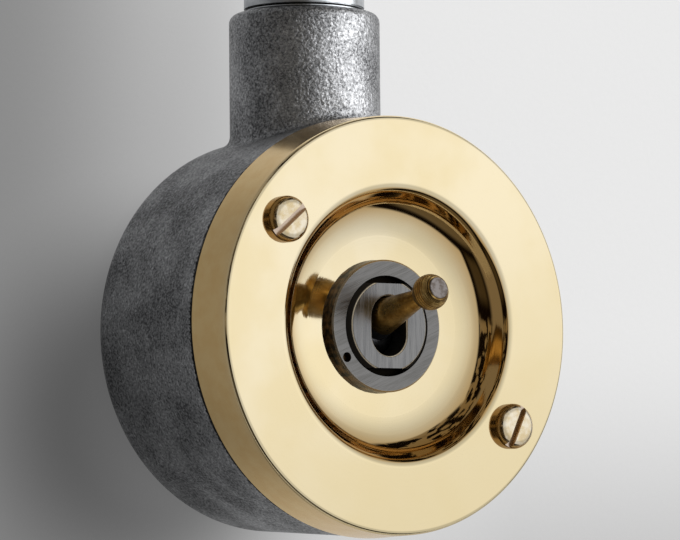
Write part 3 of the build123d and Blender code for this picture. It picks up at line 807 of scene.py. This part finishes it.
def screw_source(looks):
    """One domed, slotted screw with its head's underside at the origin and its axis on Z."""
    profile = rounded(
        [
            (-looks.shank_length, 0.0, 0.0),
            (-looks.shank_length, looks.shank_radius, 0.3 * MM),
            (0.0, looks.shank_radius, 0.0),
            (0.0, looks.head_radius, 0.0),
            (looks.head_height, looks.head_radius, looks.head_round),
            (looks.head_height, 0.0, 0.0),
        ],
        steps=10,
        support=0.05 * MM,
    )
    screw = turned("screw_source", profile, SCREW_SIDES, Matrix.Identity(4))
    work = bmesh.new()
    bmesh.ops.create_cube(work, size=1.0)
    size = (4 * looks.head_radius, looks.slot_width, 2 * looks.slot_depth)
    place = Matrix.Translation((0, 0, looks.head_height)) @ Matrix.Diagonal((*size, 1.0))
    bmesh.ops.transform(work, matrix=place, verts=work.verts)
    cutter = mesh_object("slot_cutter", work)
    cut(screw, cutter)
    ease = screw.modifiers.new("ease", "BEVEL")
    ease.width = 0.09 * MM
    ease.segments = 2
    ease.limit_method = "ANGLE"
    ease.angle_limit = math.radians(50)
    flattened(screw)
    bpy.data.objects.remove(cutter)
    return screw


def screw_tree(material):
    """Geometry Nodes: a screw on each point, turned by the point's own turn."""
    nodes, given = geometry_tree("screws_on_points", {"Points": "Geometry", "Screw": "Object"})
    source = nodes.node("GeometryNodeObjectInfo", {"Object": given["Screw"]}).outputs["Geometry"]
    turn = nodes.node("GeometryNodeInputNamedAttribute", {"Name": "turn"}, data_type="FLOAT_VECTOR")
    sockets = {"Points": given["Points"], "Instance": source, "Rotation": turn.outputs["Attribute"]}
    placed = nodes.node("GeometryNodeInstanceOnPoints", sockets).outputs["Instances"]
    return ended_tree(nodes, placed, material)


class SWITCH_OT_screws(Operator):
    """Makes the two cover screws"""

    bl_idname = "switch.screws"
    bl_label = "Cover screws"

    def execute(self, context):
        looks = context.scene.screw_looks
        material = screw_metal(looks)
        source = screw_source(looks)
        places = []
        turns = []
        for node, angle in zip(COVER_SCREWS, (looks.upper_slot, looks.lower_slot)):
            x, z = screw_middle(node)
            places.append((x, FACE_Y, z))
            turns.append((math.pi / 2, -angle, 0.0))
        mesh = bpy.data.meshes.new("cover_screws")
        mesh.from_pydata(places, [], [])
        turn = mesh.attributes.new("turn", "FLOAT_VECTOR", "POINT")
        turn.data.foreach_set("vector", [value for row in turns for value in row])
        screws = link(bpy.data.objects.new("cover_screws", mesh))
        run_tree(screws, screw_tree(material), Screw=source)
        bpy.data.objects.remove(source)
        smooth(screws, SHARP_EDGE)
        dress(screws, material, "box", "screw_brass", *COVER_SCREWS)
        return {"FINISHED"}


def knob_profile(looks):
    """The knob's profile from the neck to the tip, with fine turned lines."""
    back = math.acos(-math.sqrt(looks.knob_radius**2 - looks.neck_radius**2) / looks.knob_radius)
    front = math.asin(looks.tip_radius / looks.knob_radius)
    points = []
    for i in range(KNOB_STEPS + 1):
        angle = back + (front - back) * i / KNOB_STEPS
        along = looks.knob_radius * math.cos(angle)
        phase = math.tau * along / looks.line_pitch
        fade = math.sin(math.pi * i / KNOB_STEPS)
        radius = looks.knob_radius - looks.line_depth * fade * (0.5 - 0.5 * math.cos(phase))
        points.append((looks.knob_place + radius * math.cos(angle), radius * math.sin(angle)))
    return points


def dolly_profile(looks):
    """The dolly's whole profile: bore, tail, ball, tapered stem and knob."""
    taper = (looks.stem_radius - looks.neck_radius) / (looks.neck_place - looks.stem_place)
    at_pivot = looks.neck_radius + taper * looks.neck_place
    spread = looks.ball_radius**2 * (1 + taper**2) - at_pivot**2
    ball_front = (taper * at_pivot + math.sqrt(spread)) / (1 + taper**2)
    first = math.pi - math.asin(looks.tail_radius / looks.ball_radius)
    last = math.acos(ball_front / looks.ball_radius)
    knob = knob_profile(looks)
    return [
        (-looks.bore_floor, 0.0),
        (-looks.bore_floor, looks.bore_radius),
        (-looks.tail_length, looks.bore_radius),
        (-looks.tail_length, looks.tail_radius),
        *arc(looks.ball_radius, first, last, BALL_STEPS),
        (looks.neck_place, looks.neck_radius),
        *knob,
        (knob[-1][0], 0.0),
    ]


class SWITCH_OT_dolly(Operator):
    """Makes the turned dolly"""

    bl_idname = "switch.dolly"
    bl_label = "Dolly"

    def execute(self, context):
        looks = context.scene.dolly_looks
        place = pointing(DOLLY_AXIS, PIVOT)
        dolly = turned("turned_dolly", dolly_profile(looks), looks.segments, place)
        smooth(dolly, DOLLY_SHARP_EDGE)
        dress(dolly, aged_brass(looks), "dolly", "dolly_brass", "dolly")
        return {"FINISHED"}


def coil_tree(name, material):
    """Geometry Nodes: a round wire wound evenly along Z, for a thread's ridge or a spring."""
    nodes, given = geometry_tree(name, dict.fromkeys(("Turns", "Radius", "Reach", "Wire"), "Float"))
    path = {
        "Resolution": 72,
        "Rotations": given["Turns"],
        "Start Radius": given["Radius"],
        "End Radius": given["Radius"],
        "Height": given["Reach"],
    }
    coil = nodes.node("GeometryNodeCurveSpiral", path).outputs["Curve"]
    round_wire = {"Resolution": 8, "Radius": given["Wire"]}
    wire = nodes.node("GeometryNodeCurvePrimitiveCircle", round_wire).outputs["Curve"]
    sockets = {"Curve": coil, "Profile Curve": wire, "Fill Caps": True}
    swept = nodes.node("GeometryNodeCurveToMesh", sockets).outputs["Mesh"]
    return ended_tree(nodes, swept, material)


def wound(name, material, turns, radius, reach, wire):
    """A wound wire as a plain mesh, from the origin up along Z."""
    obj = link(bpy.data.objects.new(name, bpy.data.meshes.new(name)))
    tree = coil_tree(name + "_tree", material)
    run_tree(obj, tree, Turns=turns, Radius=radius, Reach=reach, Wire=wire)
    obj.data.materials.clear()
    obj.data.materials.append(material)
    return obj


class SWITCH_OT_spring(Operator):
    """Makes the spring between dolly and plunger"""

    bl_idname = "switch.spring"
    bl_label = "Toggle spring"

    def execute(self, context):
        looks = context.scene.spring_looks
        steel = plain_metal("spring_wire_finish", linear("77787a"), linear("5d5e60"), 0.3)
        spring = wound("toggle_coil", steel, looks.turns, looks.radius, looks.length, looks.wire_radius)
        place = pointing(-DOLLY_AXIS, PIVOT) @ Matrix.Translation((0.0, 0.0, looks.start))
        spring.data.transform(place)
        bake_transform(spring)
        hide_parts("toggle_spring")
        return {"FINISHED"}


class SWITCH_OT_conduit(Operator):
    """Finishes the conduit and makes the thread that shows above the hub, painted near-black as shade
    """

    bl_idname = "switch.conduit"
    bl_label = "Conduit"

    def execute(self, context):
        looks = context.scene.fitting_looks
        colours = (looks.pipe_colour, looks.pipe_second)
        material = plain_metal("galvanised_finish", *colours, 0.34, scratch=0.4, scale=150.0)
        finish_nodes(material, "conduit_stub")
        # The thread is real; its near-black colour is painted shade where the conduit enters the hub
        dark = plain_metal("thread_shade_finish", linear("232323"), linear("121212"), 0.5)
        turns = looks.thread_reach / looks.thread_pitch
        radius = PIPE_HIGH.x - 0.4 * MM
        ridge = looks.thread_pitch / 3
        thread = wound("conduit_thread", dark, turns, radius, looks.thread_reach, ridge)
        centre_y = (PIPE_LOW.y + PIPE_HIGH.y) / 2
        thread.data.transform(Matrix.Translation((0.0, centre_y, HUB_TOP)))
        dress(thread, dark, "box", "galvanised_steel")
        return {"FINISHED"}


TERMINALS = [
    f"terminal_{kind}{place}" for kind in ("", "screw_") for place in ("upper", "common", "lower")
]
CONTACTS = [f"{kind}_contact_{place}" for kind in ("fixed", "moving") for place in ("upper", "lower")]
ROCKER_BRASS = ("back_nut", "contact_plunger", "rocker_cradle", "contact_rocker")
EARTH_BRASS = ("earth_washer", "earth_screw")

# Each metal inside the box: its name, two colours, its roughness and the nodes made of it
INNER_METALS = (
    ("plain_brass", "c9a566", "b08a4c", 0.3, (*ROCKER_BRASS, *TERMINALS, *EARTH_BRASS)),
    ("contact_silver_finish", "d9d9d6", "b9b9b4", 0.2, CONTACTS),
    ("plated_steel", "a8a7a2", "8b8a86", 0.34, ("lock_washer", "switch_frame")),
    ("spring_finish", "77787a", "5d5e60", 0.3, ("dolly_pin", "rocker_pin")),
)


class SWITCH_OT_fittings(Operator):
    """Finishes the ring nut, the bush and everything inside the box"""

    bl_idname = "switch.fittings"
    bl_label = "Fittings"

    def execute(self, context):
        looks = context.scene.fitting_looks
        finish_nodes(nut_metal(looks), "ring_nut")
        finish_nodes(bush_metal(looks), "switch_bush")
        for name, colour, second, roughness, nodes in INNER_METALS:
            finish_nodes(plain_metal(name, linear(colour), linear(second), roughness), *nodes)
        moulding = moulded("dark_moulding", linear("2a1c15"), linear("1d130e"))
        finish_nodes(moulding, "switch_housing", "terminal_base")
        return {"FINISHED"}


# Stage, light and camera

# Metres. The floor is a short strip far below, so the wall keeps the light from in front
STAGE_HALF = 1.5
WALL_Y = 0.0002
FLOOR_Z = -0.6
FLOOR_FRONT = -0.17

# Each lamp's place, size and power
KEY_LAMP = ((0.55, -0.7, 1.0), 1.0, 10.0)
GLINT_LAMP = ((0.72, -0.9, 0.36), 1.3, 14.0)

# The world as matt surfaces get it, and as the camera sees it past the wall
MATT_LIGHT = (0.5, 0.5, 0.5)
BACKDROP_LIGHT = (0.86, 0.86, 0.86)

# The camera's place in metres, its turns in degrees, its lens and sensor in millimetres
CAMERA_PLACE = (-0.4531, -0.6712, -0.0430)
CAMERA_YAW = 35.454
CAMERA_PITCH = 3.968
CAMERA_ROLL = -0.584
CAMERA_SENSOR = 36.0
CAMERA_LENS = 203.55
CAMERA_SHIFT = (-0.0123, 0.0065)

# The bright panel that the metal reflects. Azimuths turn from the front towards +X
PANEL_AZIMUTHS = (-21.0, 80.0)
PANEL_ELEVATIONS = (-42.0, 45.0)
PANEL_EDGE = 3.0
PANEL_CORE = (45.0, 6.0)
PANEL_CORE_SIZE = (25.0, 10.0)
PANEL_CORE_FADE = 2.3
PANEL_LIGHT = (1.04, 0.64)

# A dim panel low on the other side, for views from the right
SIDE_AZIMUTHS = (-62.0, -32.0)
SIDE_ELEVATIONS = (-44.0, -14.0)
SIDE_EDGE = 6.0

# What the metal reflects of the room outside the panels
ROOM_DARK = linear("120d09")
ROOM_PANE = linear("8f8676")
ROOM_ASIDE = linear("8e8b88")
ROOM_BELOW = linear("6e6a63")
ROOM_BESIDE = linear("4a4438")

# Where the panes start, and where the room grows lighter aside and below
PANE_ELEVATIONS = (-6.0, 2.0)
ASIDE_AZIMUTHS = (-78.0, -64.0)
BELOW_ELEVATIONS = (-62.0, -50.0)

# The wall's painted shading: from left to right, down a slant, and a painted shadow out from a darker
# patch's middle
WALL_ACROSS = (-66 * MM, 27 * MM)
WALL_DOWN = (-100 * MM, -18 * MM)
WALL_SLANT = 0.35
WALL_SLANT_END = 70 * MM
WALL_LOW_LIGHT = 0.6
WALL_SHADE = (-0.026, 0.0, -0.018)
SHADE_REACH = (18 * MM, 54 * MM)
SHADE_LIGHT = 0.36
WALL_GLOW = 0.65


def wall_finish(looks):
    """Pale plaster with painted shade, darker to the left and below and in a painted shadow beside the
    switch, that partly glows for the camera and reflections and can't be seen from behind.
    """
    shader, place = new_shader("wall_plaster")
    parts = shader.parts(place)
    # Painted light falloff: darker to the left and down a slant, with a painted shadow near the switch
    share = shader.span(parts[0], *WALL_ACROSS)
    colour = shader.mix(share, looks.wall_dark, looks.wall_light)
    near_x = shader.math("MINIMUM", parts[0], WALL_SLANT_END)
    slanted = shader.math("SUBTRACT", parts[2], shader.times(near_x, WALL_SLANT))
    below = shader.span(slanted, *WALL_DOWN, WALL_LOW_LIGHT)
    away = shader.vector("DISTANCE", place, WALL_SHADE)["Value"]
    near = shader.span(away, *SHADE_REACH, SHADE_LIGHT)
    colour = shader.mix(1.0, colour, shader.grey(shader.times(below, near)), "MULTIPLY")
    grain = shader.noise(place, 1.0 / looks.grain, 3.0)
    normal = shader.bump(grain, 0.3 * MM, 0.25)
    sockets = {"Base Color": colour, "Roughness": 0.9, "Normal": normal}
    body = shader.node("ShaderNodeBsdfPrincipled", sockets)
    # The wall glows in part with its painted shading, for the camera and for reflections
    glow = shader.node("ShaderNodeEmission", {"Color": colour, "Strength": 1.0})
    path = shader.node("ShaderNodeLightPath").outputs
    seen = shader.math("MAXIMUM", path["Is Camera Ray"], path["Is Glossy Ray"])
    glowing = shader.times(shader.math("MAXIMUM", seen, path["Is Transmission Ray"]), WALL_GLOW)
    lit = shader.node("ShaderNodeMixShader", {0: glowing, 1: body.outputs[0], 2: glow.outputs[0]})
    clear = shader.node("ShaderNodeBsdfTransparent")
    back = shader.node("ShaderNodeNewGeometry").outputs["Backfacing"]
    both = shader.node("ShaderNodeMixShader", {0: back, 1: lit.outputs[0], 2: clear.outputs[0]})
    shader.node("ShaderNodeOutputMaterial", {"Surface": both.outputs[0]})
    return shader.owner


def inside(shader, value, limits, edge):
    """The share of a value inside two limits in degrees, with a soft edge."""
    low, high = limits
    above = shader.swing(value, (low - edge, low + edge))
    below = shader.swing(value, (high - edge, high + edge), 1.0, 0.0)
    return shader.times(above, below)


def studio_world():
    """Plain grey light for matt surfaces, and one large white panel for the metal to show."""
    shader = Shader(bpy.data.worlds.new("studio"))
    bpy.context.scene.world = shader.owner
    way = shader.node("ShaderNodeTexCoord").outputs["Generated"]
    parts = shader.parts(way)
    forward = shader.times(parts[1], -1.0)
    azimuth = shader.math("ARCTAN2", parts[0], forward)
    elevation = shader.math("ARCSINE", parts[2])
    across = inside(shader, azimuth, PANEL_AZIMUTHS, PANEL_EDGE)
    upright = inside(shader, elevation, PANEL_ELEVATIONS, PANEL_EDGE)
    bright = shader.times(across, upright)
    offsets = []
    for value, middle, size in zip((azimuth, elevation), PANEL_CORE, PANEL_CORE_SIZE):
        offset = shader.math("SUBTRACT", value, math.radians(middle))
        offsets.append(shader.times(offset, 1.0 / math.radians(size)))
    spread = shader.joined(*offsets)
    distance = shader.vector("LENGTH", spread)["Value"]
    white = shader.grey(shader.span(distance, 0.0, PANEL_CORE_FADE, *PANEL_LIGHT))
    cells = shader.node("ShaderNodeTexVoronoi", {"Vector": way, "Scale": 9.0}, distance="CHEBYCHEV")
    pick = shader.parts(cells.outputs["Color"])[0]
    pane = shader.times(shader.span(pick, 0.62, 0.66), shader.swing(elevation, PANE_ELEVATIONS))
    room = shader.mix(pane, ROOM_DARK, ROOM_PANE)
    aside = shader.swing(azimuth, ASIDE_AZIMUTHS, 1.0, 0.0)
    room = shader.mix(aside, room, ROOM_ASIDE)
    low = shader.swing(elevation, BELOW_ELEVATIONS, 1.0, 0.0)
    room = shader.mix(low, room, ROOM_BELOW)
    beside = inside(shader, azimuth, SIDE_AZIMUTHS, SIDE_EDGE)
    beside = shader.times(beside, inside(shader, elevation, SIDE_ELEVATIONS, SIDE_EDGE))
    room = shader.mix(beside, room, ROOM_BESIDE)
    shown = shader.mix(bright, room, white)
    path = shader.node("ShaderNodeLightPath").outputs
    colour = shader.mix(path["Is Glossy Ray"], MATT_LIGHT, shown)
    seen = shader.mix(path["Is Camera Ray"], colour, BACKDROP_LIGHT)
    light = shader.node("ShaderNodeBackground", {"Color": seen, "Strength": 1.0})
    shader.node("ShaderNodeOutputWorld", {"Surface": light.outputs[0]})


def flat_sheet(name, corners, material):
    """A single square of the stage."""
    mesh = bpy.data.meshes.new(name)
    mesh.from_pydata(corners, [], [tuple(range(len(corners)))])
    obj = link(bpy.data.objects.new(name, mesh))
    mesh.materials.append(material)


def lamp(name, place, size, power, *nodes):
    """A square area lamp that points at the switch and lights only the nodes, if any are named."""
    data = bpy.data.lights.new(name, "AREA")
    data.size = size
    data.energy = power
    obj = link(bpy.data.objects.new(name, data))
    obj.matrix_world = pointing(-Vector(place), place, "-Z")
    if nodes:
        lit = bpy.data.collections.new(name)
        for node in nodes:
            lit.objects.link(frame["nodes"][node])
        obj.light_linking.receiver_collection = lit
    else:
        obj.visible_glossy = False


def photo_camera():
    """The camera at the photograph's place, with its small shift."""
    yaw, pitch, roll = (math.radians(a) for a in (CAMERA_YAW, CAMERA_PITCH, CAMERA_ROLL))
    reach = math.cos(pitch)
    forward = Vector((math.sin(yaw) * reach, math.cos(yaw) * reach, math.sin(pitch)))
    level = Vector((math.cos(yaw), -math.sin(yaw), 0.0))
    upright = level.cross(forward)
    right = level * math.cos(roll) + upright * math.sin(roll)
    up = upright * math.cos(roll) - level * math.sin(roll)
    turn = Matrix((right, up, -forward)).transposed().to_4x4()
    data = bpy.data.cameras.new("camera")
    data.sensor_width = CAMERA_SENSOR
    data.lens = CAMERA_LENS
    data.shift_x, data.shift_y = CAMERA_SHIFT
    data.clip_start = 0.01
    camera = link(bpy.data.objects.new("camera", data))
    camera.matrix_world = Matrix.Translation(CAMERA_PLACE) @ turn
    bpy.context.scene.camera = camera


class SWITCH_OT_stage(Operator):
    """Makes the wall, the floor, the light and the camera"""

    bl_idname = "switch.stage"
    bl_label = "Stage"

    def execute(self, context):
        looks = context.scene.stage_looks
        half = STAGE_HALF
        foot = [(-half, WALL_Y, FLOOR_Z), (half, WALL_Y, FLOOR_Z)]
        wall = [*foot, (half, WALL_Y, half), (-half, WALL_Y, half)]
        flat_sheet("wall", wall, wall_finish(looks))
        shader, place = new_shader("floor_finish")
        pale = looks.floor_colour
        colour = shader.mix(shader.noise(place, 8.0), pale, [share * 0.94 for share in pale])
        floor_material = shader.surface(Base_Color=colour, Roughness=0.8)
        floor = [(-half, FLOOR_FRONT, FLOOR_Z), (half, FLOOR_FRONT, FLOOR_Z), *foot[::-1]]
        flat_sheet("floor", floor, floor_material)
        studio_world()
        lamp("key", *KEY_LAMP)
        lamp("glint", *GLINT_LAMP, "back_box", "conduit_stub")
        photo_camera()
        context.scene.view_settings.view_transform = "Standard"
        return {"FINISHED"}


class SWITCH_PT_pieces(Panel):
    """Lists the pieces"""

    bl_idname = "SWITCH_PT_pieces"
    bl_label = "Conduit switch"
    bl_space_type = "VIEW_3D"
    bl_region_type = "UI"
    bl_category = "Switch"

    def draw(self, context):
        for made in PIECES:
            self.layout.operator(made.bl_idname)


SETTINGS = {
    "casting_looks": CastingLooks,
    "cover_looks": CoverLooks,
    "screw_looks": ScrewLooks,
    "dolly_looks": DollyLooks,
    "spring_looks": SpringLooks,
    "fitting_looks": FittingLooks,
    "stage_looks": StageLooks,
}
PIECES = (
    SWITCH_OT_casting,
    SWITCH_OT_cover,
    SWITCH_OT_screws,
    SWITCH_OT_dolly,
    SWITCH_OT_spring,
    SWITCH_OT_conduit,
    SWITCH_OT_fittings,
    SWITCH_OT_stage,
)


def register():
    for made in (*SETTINGS.values(), *PIECES, SWITCH_PT_pieces):
        bpy.utils.register_class(made)
    for name, group in SETTINGS.items():
        setattr(bpy.types.Scene, name, PointerProperty(type=group))


def unregister():
    for name in SETTINGS:
        delattr(bpy.types.Scene, name)
    for made in (SWITCH_PT_pieces, *reversed(PIECES), *SETTINGS.values()):
        bpy.utils.unregister_class(made)


def main():
    """Makes every piece."""
    register()
    for made in PIECES:
        group, name = made.bl_idname.split(".")
        getattr(getattr(bpy.ops, group), name)()
    bpy.context.view_layer.update()


if __name__ == "__main__":
    main()
